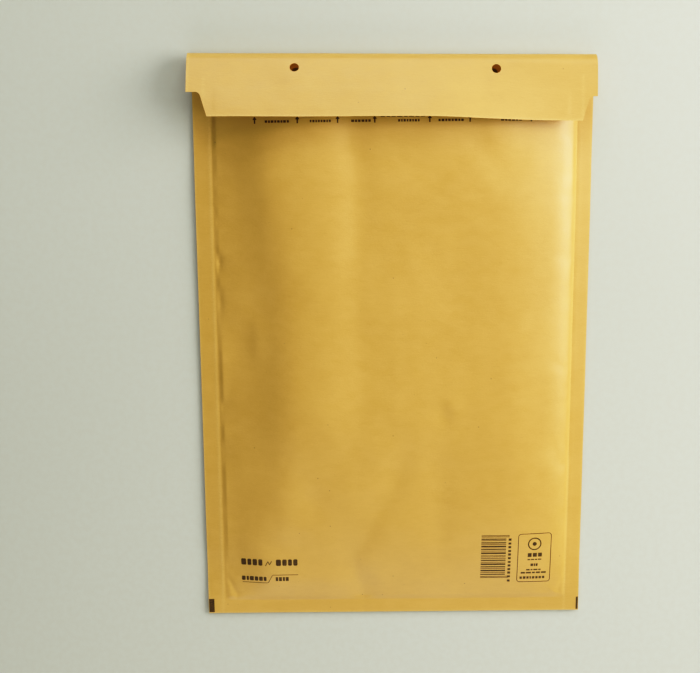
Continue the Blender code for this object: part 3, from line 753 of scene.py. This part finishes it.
# ---- print ----
class Print(Surface):
    """Thin closed islands of ink that lie on the front panel."""

    def __init__(self):
        super().__init__()
        self.heights = front(*np.meshgrid(COLUMNS, ROWS))

    def height(self, x, y):
        """Height of the paper's own facets at this spot."""
        i = np.clip(np.searchsorted(COLUMNS, x) - 1, 0, len(COLUMNS) - 2)
        j = np.clip(np.searchsorted(ROWS, y) - 1, 0, len(ROWS) - 2)
        u = (x - COLUMNS[i]) / (COLUMNS[i + 1] - COLUMNS[i])
        v = (y - ROWS[j]) / (ROWS[j + 1] - ROWS[j])
        u, v = np.clip(u, 0, 1), np.clip(v, 0, 1)
        a, b = self.heights[j, i], self.heights[j, i + 1]
        c, d = self.heights[j + 1, i + 1], self.heights[j + 1, i]
        right = (COLUMNS[i] + COLUMNS[i + 1]) / 2 > 0
        one = np.where(v < u, a + (b - a) * u + (c - b) * v, a + (c - d) * u + (d - a) * v)
        two = np.where(u + v < 1, a + (b - a) * u + (d - a) * v, c + (d - c) * (1 - u) + (b - c) * (1 - v))
        return np.where(right, two, one)

    def island(self, grid, closed=False):
        """A closed slab over a grid of x and y. closed joins the last row of the grid to the first."""
        grid = np.asarray(grid, float)
        paper = self.height(grid[..., 0], grid[..., 1])
        layers = [self.add(np.dstack([grid, paper + lift])) for lift in (0.012, 0.05)]
        if closed:
            layers = [np.vstack([ids, ids[:1]]) for ids in layers]
            grid = np.vstack([grid, grid[:1]])
        for ids in layers:
            self.quads(ids, grid)
        low, high = layers
        walls = [np.s_[:, 0], np.s_[:, -1]] + ([] if closed else [np.s_[0], np.s_[-1]])
        for s in walls:
            self.strip(low[s], high[s], grid[s], grid[s] + 0.01)

    def box(self, x0, y0, x1, y1, cell=1.2):
        xs = np.linspace(x0, x1, max(2, math.ceil((x1 - x0) / cell) + 1))
        ys = np.linspace(y0, y1, max(2, math.ceil((y1 - y0) / cell) + 1))
        self.island(np.dstack(np.meshgrid(xs, ys)))

    def pill(self, x0, y0, x1, y1, radius, cell=1.0):
        """A box with rounded corners, as columns that get shorter at the ends."""
        ends = radius * (1 - np.cos(np.linspace(0, math.pi / 2, 4)))
        xs = np.concatenate([x0 + ends[:-1], np.linspace(x0 + radius, x1 - radius, max(2, math.ceil((x1 - x0) / cell))), x1 - ends[:-1][::-1]])
        away = np.maximum(np.maximum(x0 + radius - xs, xs - x1 + radius), 0)
        cut = radius - np.sqrt(np.maximum(radius**2 - away**2, 0))
        count = max(2, math.ceil((y1 - y0) / cell) + 1)
        share = np.linspace(0, 1, count)[:, None]
        ys = (y0 + cut * 0.98) * (1 - share) + (y1 - cut * 0.98) * share
        self.island(np.dstack([np.broadcast_to(xs, ys.shape), ys]))

    def stroke(self, points, width, closed=False, cell=1.0):
        """A line of this width through these points."""
        p = np.array(points, float)
        if closed:
            p = np.vstack([p, p[:1]])
        far = np.concatenate([[0], np.cumsum(np.hypot(*np.diff(p, axis=0).T))])
        keep = np.unique(np.concatenate([far, np.arange(0, far[-1], cell)]).round(6))
        keep = keep[np.concatenate([[True], np.diff(keep) > 0.02])]
        line = np.stack([np.interp(keep, far, p[:, k]) for k in (0, 1)], -1)
        if closed:
            line = line[:-1]
            ahead, behind = np.roll(line, -1, axis=0), np.roll(line, 1, axis=0)
        else:
            ahead, behind = np.vstack([line[1:], 2 * line[-1:] - line[-2:-1]]), np.vstack([2 * line[:1] - line[1:2], line[:-1]])
        along = ahead - behind
        along /= np.linalg.norm(along, axis=1)[:, None]
        across = np.stack([-along[:, 1], along[:, 0]], -1) * width / 2
        self.island(np.stack([line - across, line + across], 1), closed)

    def disc(self, cx, cy, radius):
        u, v = np.meshgrid(np.linspace(-1, 1, 7), np.linspace(-1, 1, 7))
        self.island(np.dstack([cx + radius * u * np.sqrt(1 - v**2 / 2), cy + radius * v * np.sqrt(1 - u**2 / 2)]))

    def arrow(self, x, foot, head):
        ys = np.array([foot, foot + 0.9, foot + 1.7, foot + 2.25, foot + 2.3, (foot + 2.3 + head) / 2, head])
        half = np.array([0.42, 0.42, 0.42, 0.42, 1.25, 0.65, 0.06])
        self.island(np.dstack([x + np.stack([-half, 0 * half, half], 1), np.stack([ys] * 3, 1)]))

    def blocks(self, x0, y0, y1, widths, gap, radius=0.0):
        """A row of plain blocks."""
        for width in widths:
            if radius:
                self.pill(x0, y0, x0 + width, y1, radius)
            else:
                self.box(x0, y0, x0 + width, y1)
            x0 += width + gap


def rounded(x0, y0, x1, y1, radius):
    points = []
    for cx, cy, start in ((x1 - radius, y1 - radius, 0), (x0 + radius, y1 - radius, 90), (x0 + radius, y0 + radius, 180), (x1 - radius, y0 + radius, 270)):
        for n in range(7):
            a = math.radians(start + 15 * n)
            points.append((cx + radius * math.cos(a), cy + radius * math.sin(a)))
    return points


def front_print():
    made = Print()
    # arrows and short rows of blocks below the flap
    for x in (-82.3, -56.7, -33.0, -11.2, 21.1, 44.8, 81.4):
        made.arrow(x, 312.1, 316.2)
    rows = [(-76.1, -61.7), (-49.3, -37.0), (-25.0, -13.5), (2.5, 15.1), (26.2, 41.0), (63.1, 75.6)]
    for number, (x0, x1) in enumerate(rows):
        parts = [(1.5, 1.1, 1.6, 1.2), (1.3, 1.7, 1.2, 1.5), (1.6, 1.2, 1.4)][number % 3]
        unit = (x1 - x0 - 0.55 * (2 * len(parts) - 1)) / (2 * sum(parts))
        made.blocks(x0, 312.55, 313.95, [unit * w for w in parts * 2], 0.55)
    made.blocks(-7.8, 315.3, 316.9, [2.6, 1.9, 2.3, 3.0, 2.0, 2.8, 2.2, 2.4], 1.0)
    # lower left: a bold row, and a lighter one between two rules
    made.blocks(-97.9, 34.4, 38.8, [3.2, 2.5, 2.9, 2.6], 0.85, 0.8)
    made.stroke([(-82.2, 34.3), (-80.6, 37.4), (-79.6, 35.2), (-78.2, 37.6)], 0.45)
    made.blocks(-75.4, 34.4, 38.8, [3.2, 2.8, 2.5, 2.7], 0.85, 0.8)
    made.blocks(-97.8, 23.6, 26.6, [2.4, 1.5, 2.6, 2.2, 2.4, 1.8], 0.62, 0.6)
    made.stroke([(-97.5, 22.3), (-81.1, 22.2), (-80.3, 23.0), (-78.3, 27.0), (-77.4, 27.9), (-61.4, 27.9)], 0.34)
    made.blocks(-75.8, 23.6, 26.4, [1.5, 1.9, 1.3, 1.9], 0.55)
    # lower right: a block of stripes with a column of small blocks beside it
    stripes = [(0.0, 0.4, 1), (0.85, 0.4, 1), (2.2, 0.75, 0), (3.7, 0.4, 0), (4.8, 1.1, 0), (6.7, 0.4, 0), (7.7, 0.75, 0)]
    stripes += [(9.4, 1.1, 0), (11.2, 0.4, 0), (12.4, 0.75, 0), (13.9, 0.4, 0), (15.0, 0.4, 1), (15.85, 0.4, 1), (17.3, 1.1, 0)]
    stripes += [(19.2, 0.4, 0), (20.3, 0.75, 0), (22.0, 1.1, 0), (23.8, 0.4, 0), (24.8, 0.75, 0), (26.5, 0.4, 0), (27.4, 0.75, 0)]
    stripes += [(29.1, 0.4, 1), (29.95, 0.4, 1)]
    for low, width, long in stripes:
        made.box(55.6, 24.2 + low, 71.4 + (2.0 if long and low not in (15.0, 15.85) else 0), 24.2 + low + width)
    for number, tall in enumerate((1.5, 1.3, 1.6, 1.4, 1.5, 1.3, 1.5, 1.6, 1.3, 1.5, 1.4, 1.6)):
        made.box(72.9, 21.3 + 2.62 * number + (0.6 if number > 0 else 0), 74.7, 21.3 + 2.62 * number + (0.6 if number > 0 else 0) + tall)
    # a framed panel with a ring and rows of blocks
    made.stroke(rounded(79.2, 21.0, 100.5, 55.0, 1.9), 0.42, closed=True)
    ring = [(89.8 + 4.0 * math.cos(a), 47.9 + 4.0 * math.sin(a)) for a in np.linspace(0, 2 * math.pi, 37)[:-1]]
    made.stroke(ring, 0.75, closed=True)
    made.disc(89.8, 47.9, 1.35)
    made.blocks(85.6, 38.8, 41.5, [2.5, 2.6, 2.5], 0.8)
    made.blocks(85.6, 36.5, 37.3, [1.6, 2.1, 1.4, 2.2], 0.55)
    made.blocks(87.7, 32.2, 34.0, [1.7, 0.9, 1.2], 0.4)
    made.blocks(85.0, 29.2, 30.1, [2.3, 1.2, 2.6, 1.5], 0.6)
    made.blocks(81.6, 27.0, 28.1, [2.7, 3.3, 1.9, 2.6, 3.2], 0.65)
    made.blocks(81.0, 23.2, 24.9, [1.5, 1.7, 1.4, 0.9, 1.6, 1.5, 1.6, 1.5], 0.62)
    # register marks in the bottom corners
    made.box(-119.75, 0.75, -116.3, 9.9)
    made.box(118.4, 0.75, 119.75, 9.2)
    return made.make("front_print", print_ink(), sharp=50.0)


# ---- lining ----
PITCH = HOLLOW_SIDE / 9
ROW_CELLS = 234
ROW_PITCH = (FILM_MOUTH - HOLLOW_FOOT) / ROW_CELLS * 7


def bubbles(x, y):
    """0 between the air cells, 1 on top of each one."""
    nearest = np.full(np.shape(x), 1e9)
    for half in (0.0, 0.5):
        cx = (np.round(x / PITCH - half) + half) * PITCH
        cy = (np.round((y - HOLLOW_FOOT) / (2 * ROW_PITCH) - half) + half) * 2 * ROW_PITCH + HOLLOW_FOOT
        nearest = np.minimum(nearest, np.hypot(x - cx, y - cy))
    crown = np.clip(1 - (nearest / 4.9) ** 2, 0, 1)
    return crown**0.62


def lining():
    made = Surface()
    fine_x = np.linspace(-HOLLOW_SIDE, HOLLOW_SIDE, 145)
    fine_y = np.linspace(HOLLOW_FOOT, FILM_MOUTH, ROW_CELLS + 1)
    side = [-FILM_SIDE, -102, -100, -98]
    xs = np.array(side + list(fine_x[::2]) + [-v for v in reversed(side)])
    ys = np.array([FILM_FOOT, 17, 19.5, 22, 25] + list(fine_y[::2]))

    def ends_of(x, y):
        """Middle of the space between the plies and half its height."""
        upper, lower = front(x, y), back(x, y)
        return (upper + lower) / 2, (upper - lower) / 2 - SHEET

    def top(x, y):
        middle, half = ends_of(x, y)
        return middle + np.maximum(half - 0.38, 0.35 * half)

    def low(x, y):
        middle, half = ends_of(x, y)
        return middle - np.maximum(half - 0.30, 0.35 * half)

    def outside(height):
        x, y = np.meshgrid(xs, ys)
        return made.add(np.stack([x, y, height(x, y)], -1)), np.stack([x, y], -1)

    upper, spots = outside(top)
    lower, _ = outside(low)
    mirror = ((xs[:-1] + xs[1:]) / 2 > 0)[None, :]
    made.quads(upper, spots, mirror=mirror)
    made.quads(lower, spots + np.array([230.0, 0]), mirror=mirror)
    made.strip(upper[:, 0], lower[:, 0], spots[:, 0] + np.array([-3.0, 0]), spots[:, 0] + np.array([-5.0, 0]))
    made.strip(upper[:, -1], lower[:, -1], spots[:, -1] + np.array([3.0, 0]), spots[:, -1] + np.array([5.0, 0]))
    made.strip(upper[0], lower[0], spots[0] + np.array([0, -3.0]), spots[0] + np.array([0, -5.0]))

    # the two faces that look into the pocket carry the air cells
    x, y = np.meshgrid(fine_x, fine_y)
    t, b = top(x, y), low(x, y)
    middle = (t + b) / 2
    fade = 1 - 0.45 * smooth(FILM_MOUTH - 1.5, FILM_MOUTH, y)
    air = bubbles(x, y) * fade
    creased = 0.10 * cloud(x, y, 7, 61) + 0.05 * cloud(x, y, 3.4, 62)
    room = smooth(0, 7, HOLLOW_SIDE - np.abs(x)) * smooth(0, 7, y - HOLLOW_FOOT)
    film_t = 0.45 + (2.15 * air + creased + 0.12) * (0.25 + 0.75 * room)
    film_b = 0.45 + (2.15 * air + creased + 0.12) * (0.25 + 0.75 * room)
    ceiling = made.add(np.stack([x, y, np.maximum(t - film_t, middle + 0.2)], -1))
    bottom = made.add(np.stack([x, y, np.minimum(b + film_b, middle - 0.2)], -1))
    edge = made.add(np.stack([x, y, middle], -1))
    for ids in (ceiling, bottom):
        ids[:, 0], ids[:, -1], ids[0, :] = edge[:, 0], edge[:, -1], edge[0, :]
    mirror = ((fine_x[:-1] + fine_x[1:]) / 2 > 0)[None, :]
    fine_spots = np.stack([x, y], -1)
    made.quads(ceiling, fine_spots + np.array([0, 360.0]), mirror=mirror)
    made.quads(bottom, fine_spots + np.array([230.0, 360.0]), mirror=mirror)

    # cut edges at the mouth: two fine cells to each coarse one
    count = len(side)
    for outer_row, inner_row, v in ((upper[-1], ceiling[-1], 345.0), (lower[-1], bottom[-1], 350.0)):
        rows = []
        for k in range(72):
            a, b_ = outer_row[count + k], outer_row[count + k + 1]
            p, q, r = inner_row[2 * k], inner_row[2 * k + 1], inner_row[2 * k + 2]
            rows += [(a, p, q), (a, q, b_), (b_, q, r)]
        where = [[(2.7 * (n // 3) - 96, v), (2.7 * (n // 3) - 95, v + 2), (2.7 * (n // 3) - 94, v)] for n in range(len(rows))]
        made.triangles(np.array(rows), np.array(where))
    # and beside the hollow, where the two films are one
    for outer_t, outer_b, hub in (
        (upper[-1, : count + 1], lower[-1, : count + 1], edge[-1, 0]),
        (upper[-1, -count - 1 :][::-1], lower[-1, -count - 1 :][::-1], edge[-1, -1]),
    ):
        spots_t = np.stack([np.arange(count) * 3.0 + 120, np.full(count, 345.0)], -1)
        made.strip(outer_t[:-1], outer_b[:-1], spots_t, spots_t + np.array([0, 2.0]))
        last = [(outer_t[-2], outer_t[-1], hub), (outer_t[-2], hub, outer_b[-2]), (outer_b[-2], hub, outer_b[-1])]
        made.triangles(np.array(last), np.array([[(140.0, 345.0), (142.0, 345.0), (141.0, 347.0)]] * 3))
    return made.make("bubble_lining_film", bubble_film(), sharp=60.0, layout=(-130.0, 0.0, 740.0))


# ---- glue and liner under the flap ----
def glue_strip():
    made = Surface()
    xs = np.linspace(-104.6, 104.6, 106)
    share = np.array([0.0, 0.03, 0.10, 0.25, 0.4, 0.55, 0.7, 0.85, 0.95, 0.985, 1.0])
    start = 26.1 + 0.25 * cloud(xs, 2.0, 9, 71) + 0.10 * cloud(xs, 2.0, 3, 72)
    stop = 39.7 + 0.25 * cloud(xs, 5.0, 8, 73) + 0.10 * cloud(xs, 5.0, 3, 74)
    alongs = start[None, :] + (stop - start)[None, :] * share[:, None]
    x = np.broadcast_to(xs, alongs.shape)
    swell = np.sqrt(np.clip(1 - (2 * share - 1) ** 6, 0, 1))[:, None]
    end = smooth(0, 1.5, 104.6 - np.abs(xs))[None, :]
    thick = 0.10 + 0.34 * swell * (0.25 + 0.75 * end) + 0.02 * cloud(x, alongs, 5, 75)
    near = made.add(sheet(x, alongs, SHEET + 0.02))
    far = made.add(sheet(x, alongs, SHEET + 0.02 + thick))
    where = np.stack([x, alongs], -1)
    for ids, shift in ((near, 0.0), (far, 30.0)):
        made.quads(ids, where + np.array([0, shift]))
    for s in (np.s_[0], np.s_[-1], np.s_[:, 0], np.s_[:, -1]):
        made.strip(near[s], far[s], where[s] + np.array([0, 60.0]), where[s] + np.array([0, 60.5]))
    return made.make("glue_strip", hot_melt(), sharp=60.0)


def liner():
    """The release liner: cut together with the flap, so its ends follow the same steps and slants."""
    made = Surface()
    inset = 1.0
    sides = [100, 103, 106, 108.5, 110.5, 112, 113.4, 115, 117, 118.2, HALF - inset]
    xs = np.array([-v for v in reversed(sides)] + [2.0 * n for n in range(-49, 50)] + sides)
    step = SHOULDER - inset
    alongs = np.array([22.0, 22.25, 22.8, 23.8, 25.2, 26.6, 27.5, step, 28.2, 28.5, 28.95, 29.5, 30.2, 31.5, 33.5, 35.5, 37.5, 39.2, 40.6, 41.6, 42.2, 42.5])
    trim = int(np.argmin(abs(xs + 113.4))), int(np.argmin(abs(xs - 117.0)))
    at = int(np.argmin(abs(alongs - step)))
    x, along = np.meshgrid(xs, alongs)
    x = shouldered(x, along, inset)
    cells_j, cells_i = np.meshgrid(np.arange(len(alongs) - 1), np.arange(len(xs) - 1), indexing="ij")
    keep = (cells_j < at) | ((cells_i >= trim[0]) & (cells_i < trim[1]))
    # it bulges a little over the glue and lifts along its two free edges
    over = smooth(25.0, 27.0, along) * (1 - smooth(38.8, 40.8, along))
    curl = 0.20 * (1 - smooth(22, 25, along)) + 0.18 * smooth(40.5, 42.5, along)
    depth = 0.62 + 0.22 * over + curl * (0.6 + 0.4 * cloud(x, along, 23, 81)) + 0.05 * cloud(x, along, 12, 82) + 0.02 * cloud(x, along, 4, 83)
    near = made.add(sheet(x, along, depth + SHEET))
    far = made.add(sheet(x, along, depth + SHEET + 0.13))
    where = np.stack([x, along], -1)
    made.quads(near, where, keep=keep)
    made.quads(far, where + np.array([0, 30.0]), keep=keep)
    tip = len(alongs) - 1
    lines = [np.s_[0, :], np.s_[: at + 1, 0], np.s_[: at + 1, -1], np.s_[at, : trim[0] + 1], np.s_[at, trim[1] :]]
    lines += [np.s_[at:, trim[0]], np.s_[at:, trim[1]], np.s_[tip, trim[0] : trim[1] + 1]]
    for s in lines:
        made.strip(near[s], far[s], where[s] + np.array([0, 60.0]), where[s] + np.array([0, 60.4]))

    def wear(points, marks):
        base = sheet(points[:, 0], 22.0, 1.0)[:, 1]
        free = sheet(points[:, 0], 42.5, 1.0)[:, 1]
        return np.exp(-(((points[:, 1] - base) / 0.7) ** 2)) + np.exp(-(((points[:, 1] - free) / 0.7) ** 2))

    return made.make("release_liner_paper", release_paper(), sharp=50.0, attributes={"wear": wear})


# ---- put together ----
pieces = [
    (kraft_sheet(), "kraft_envelope", "kraft_paper"),
    (lining(), "bubble_lining", "bubble_film"),
    (glue_strip(), "adhesive_strip", "adhesive"),
    (liner(), "release_liner", "release_paper"),
]
for piece, node, slot in pieces:
    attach(piece, "root")
    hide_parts(node)
printed = front_print()
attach(printed, "root")

# ---- floor, light and camera ----
scene = bpy.context.scene
bpy.ops.mesh.primitive_plane_add(size=12, location=(0, 0, -0.0001))
floor = bpy.context.object
floor.name = "floor"
floor.data.materials.append(floor_look())

world = bpy.data.worlds.new("studio")
world.use_nodes = True
world.node_tree.nodes["Background"].inputs[0].default_value = (1.0, 0.97, 0.87, 1)
world.node_tree.nodes["Background"].inputs[1].default_value = 0.12
scene.world = world


def softbox(name, at, target, width, height, watts, colour=(1, 1, 1)):
    data = bpy.data.lights.new(name, "AREA")
    data.shape = "RECTANGLE"
    data.size, data.size_y = width, height
    data.energy, data.color = watts, colour
    lamp = bpy.data.objects.new(name, data)
    lamp.location = at
    lamp.rotation_euler = (Vector(target) - Vector(at)).to_track_quat("-Z", "Y").to_euler()
    scene.collection.objects.link(lamp)
    return lamp


softbox("key", (1.03, 0.25, 0.62), (0.0, 0.06, 0.0), 0.8, 0.8, 14.5, (1.0, 0.99, 0.965))
softbox("top", (0.30, 0.90, 1.10), (0.0, 0.1, 0.0), 1.2, 0.8, 5.3, (1.0, 0.985, 0.96))
softbox("back", (-0.05, 1.25, 0.66), (0.0, 0.15, 0.0), 1.1, 0.4, 5.2, (0.96, 0.985, 1.0))
softbox("low", (0.05, -0.95, 0.55), (0.0, -0.1, 0.0), 1.2, 0.6, 3.6, (1.0, 0.96, 0.88))
fill_data = bpy.data.lights.new("fill", "SUN")
fill_data.energy, fill_data.angle, fill_data.color = 0.26, math.radians(120), (1.0, 0.91, 0.72)
fill = bpy.data.objects.new("fill", fill_data)
fill.rotation_euler = (math.radians(24), math.radians(6), 0)
scene.collection.objects.link(fill)

camera_data = bpy.data.cameras.new("camera")
camera_data.sensor_width = 36.0
camera_data.lens = 36.0 * 1080.0 / 700.0
camera_data.clip_start, camera_data.clip_end = 0.01, 50.0
camera = bpy.data.objects.new("camera", camera_data)
turn = Matrix(((0.999959, -0.008553, 0.002861), (0.008925, 0.984209, -0.176786), (-0.001304, 0.176805, 0.984245))).transposed()
camera.matrix_world = Matrix.Translation((-0.027676, 0.124714, 0.662339)) @ turn.to_4x4()
scene.collection.objects.link(camera)
scene.camera = camera
scene.view_settings.view_transform = "Standard"
scene.view_settings.look = "None"
# a mild S-shaped response, as any camera has: white is reached at 1.4
scene.view_settings.use_curve_mapping = True
response = scene.view_settings.curve_mapping
response.use_clip = False
response.white_level = (1.4, 1.4, 1.4)
curve = response.curves[3]
stops = [(0.0, 0.0), (0.03, 0.011), (0.05, 0.022), (0.075, 0.041), (0.10, 0.065), (0.15, 0.116), (0.25, 0.222), (0.40, 0.405), (0.60, 0.625), (0.80, 0.790), (1.0, 0.895), (1.4, 0.985)]
curve.points[0].location, curve.points[-1].location = (0.0, 0.0), (1.0, 0.985)
for light_in, light_out in stops[1:-1]:
    curve.points.new(light_in / 1.4, light_out)
response.update()
